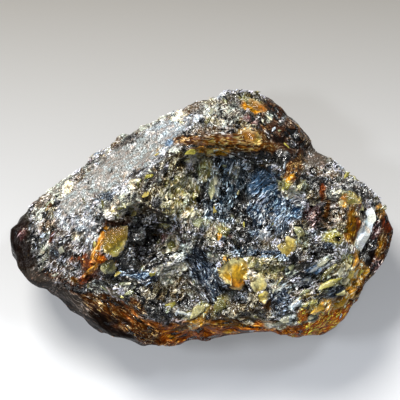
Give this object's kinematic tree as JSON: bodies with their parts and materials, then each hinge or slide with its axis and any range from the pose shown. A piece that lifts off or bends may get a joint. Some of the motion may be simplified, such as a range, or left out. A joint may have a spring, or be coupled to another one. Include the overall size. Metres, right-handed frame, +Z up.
{
  "type": "raw amber piece",
  "caption": "Raw lump of dark amber with a broken glittering face, honey-coloured chips and a pale weathered crust, lying on its back.",
  "frame": {"origin": "middle of the footprint box, on the surface that the lump lies on", "axes": "+X along the lump to its broad shell-broken end, +Y to the high hump, +Z up out of the broken face"},
  "size_m": [0.0955, 0.0643, 0.0376],
  "materials": {
    "dark_amber": "gloss"
  },
  "bodies": {
    "root": {"raw_amber": "dark_amber"}
  },
  "joints": []
}
